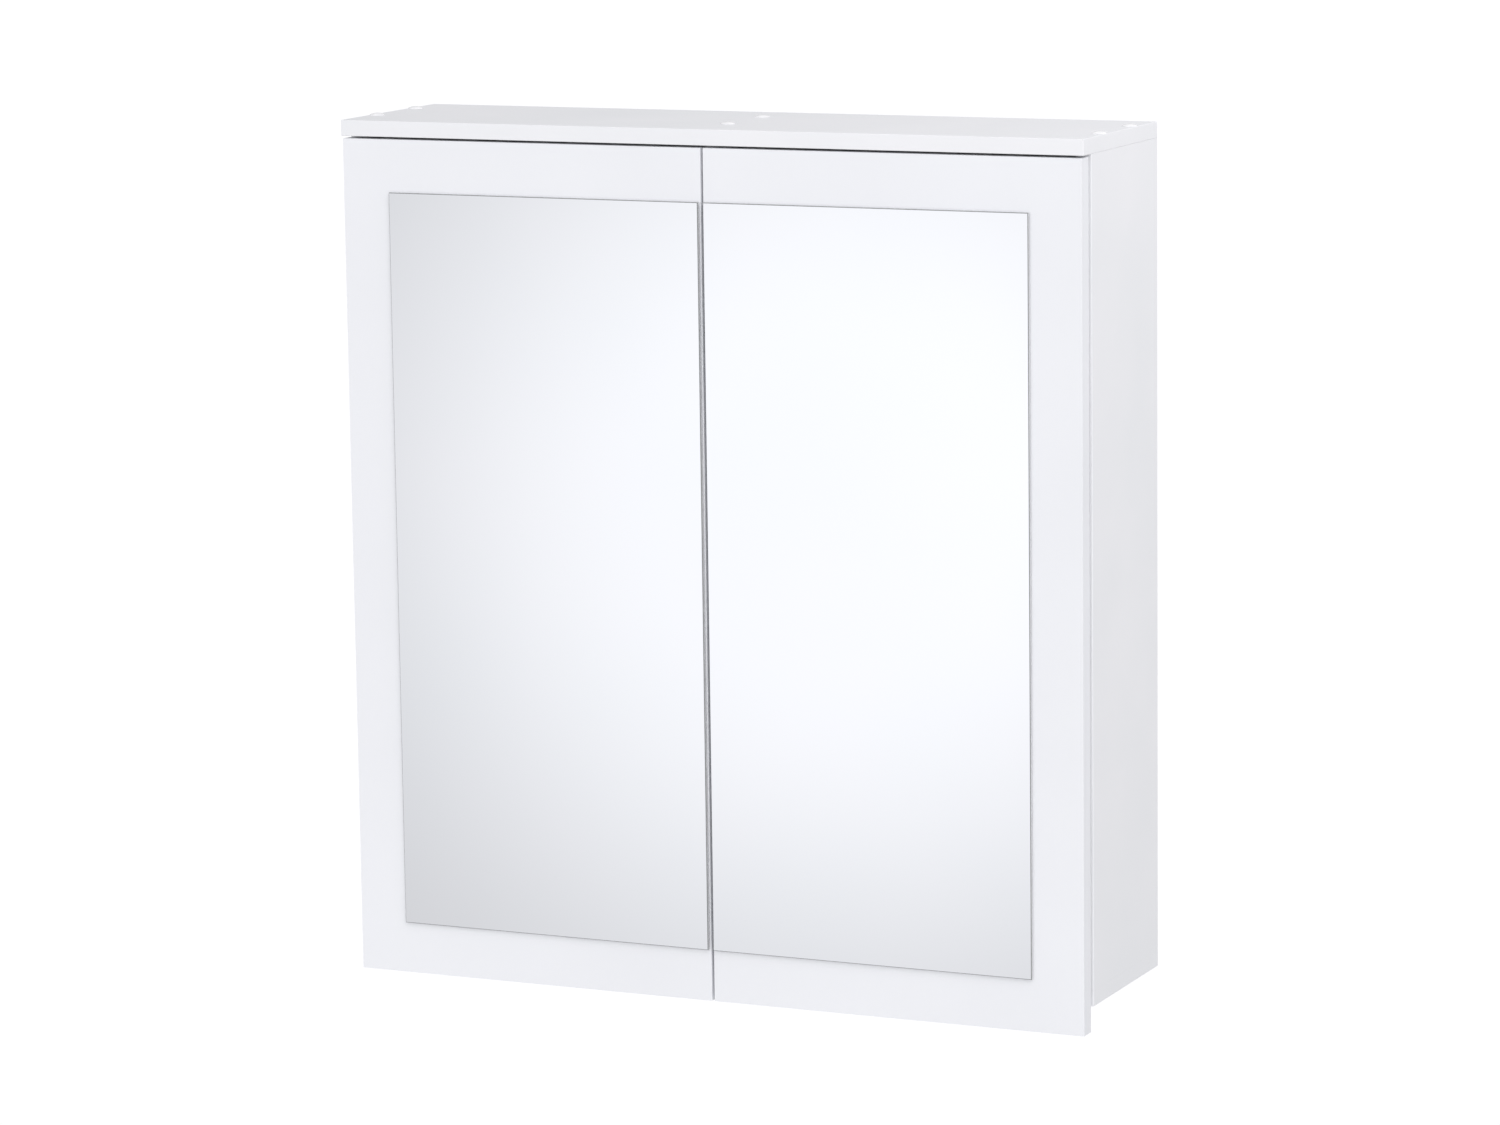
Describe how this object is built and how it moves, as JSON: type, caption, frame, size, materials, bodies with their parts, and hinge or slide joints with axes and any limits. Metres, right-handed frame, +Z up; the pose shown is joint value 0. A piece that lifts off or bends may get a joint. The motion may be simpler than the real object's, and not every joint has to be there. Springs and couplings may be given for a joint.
{
  "type": "hanging wall cabinet",
  "caption": "White wall cabinet with a centre divider, adjustable shelves and mirror-fronted overlay doors on concealed hinges, hung by screws through inner rails.",
  "frame": {"origin": "on the wall plane, midway between the two wall screw holes in the hanging rails", "axes": "+X to the right seen from the front, +Y into the wall, +Z up"},
  "size_m": [0.6, 0.1565, 0.6593],
  "materials": {
    "lacquered_board": "satin white lacquer on fibreboard",
    "lacquered_door": "satin white lacquer on fibreboard",
    "painted_hardboard": "matt white paint on hardboard",
    "beech": "plain beech",
    "white_plastic": "satin",
    "clear_rubber": "soft, slightly clear",
    "foam_tape": "matt",
    "mirror_glass": "silvered float glass",
    "nickel_steel": "bright nickel plate",
    "zinc_steel": "bright zinc plate"
  },
  "bodies": {
    "carcass": {"top_panel": "lacquered_board", "bottom_panel": "lacquered_board", "left_side": "lacquered_board", "right_side": "lacquered_board", "centre_divider": "lacquered_board", "back_panel": "painted_hardboard", "left_hanging_rail": "lacquered_board", "right_hanging_rail": "lacquered_board", "rail_dowels": "beech", "left_lower_shelf": "lacquered_board", "left_upper_shelf": "lacquered_board", "right_lower_shelf": "lacquered_board", "right_upper_shelf": "lacquered_board", "left_shelf_pins": "zinc_steel", "right_shelf_pins": "zinc_steel", "top_screws": "zinc_steel", "bottom_screws": "zinc_steel", "top_screw_caps": "white_plastic", "back_nails": "zinc_steel", "left_lower_hinge_plate": "nickel_steel", "left_upper_hinge_plate": "nickel_steel", "right_lower_hinge_plate": "nickel_steel", "right_upper_hinge_plate": "nickel_steel", "left_lower_hinge_arm": "nickel_steel", "left_upper_hinge_arm": "nickel_steel", "right_lower_hinge_arm": "nickel_steel", "right_upper_hinge_arm": "nickel_steel", "hinge_plate_screws": "zinc_steel", "hinge_arm_screws": "zinc_steel"},
    "left_door": {"left_door_panel": "lacquered_door", "left_mirror": "mirror_glass", "left_mirror_adhesive": "foam_tape", "left_lower_hinge_cup": "nickel_steel", "left_upper_hinge_cup": "nickel_steel", "left_lower_hinge_pin": "nickel_steel", "left_upper_hinge_pin": "nickel_steel", "left_cup_screws": "zinc_steel", "left_door_buffers": "clear_rubber"},
    "right_door": {"right_door_panel": "lacquered_door", "right_mirror": "mirror_glass", "right_mirror_adhesive": "foam_tape", "right_lower_hinge_cup": "nickel_steel", "right_upper_hinge_cup": "nickel_steel", "right_lower_hinge_pin": "nickel_steel", "right_upper_hinge_pin": "nickel_steel", "right_cup_screws": "zinc_steel", "right_door_buffers": "clear_rubber"}
  },
  "joints": [
    {"name": "left_door_hinge", "type": "hinge", "parent": "carcass", "child": "left_door", "pos_m": [-0.293, -0.1475, -0.29865], "axis": [0, 0, -1], "range_deg": [0, 95]},
    {"name": "right_door_hinge", "type": "hinge", "parent": "carcass", "child": "right_door", "pos_m": [0.293, -0.1475, -0.29865], "axis": [0, 0, 1], "range_deg": [0, 95]}
  ]
}
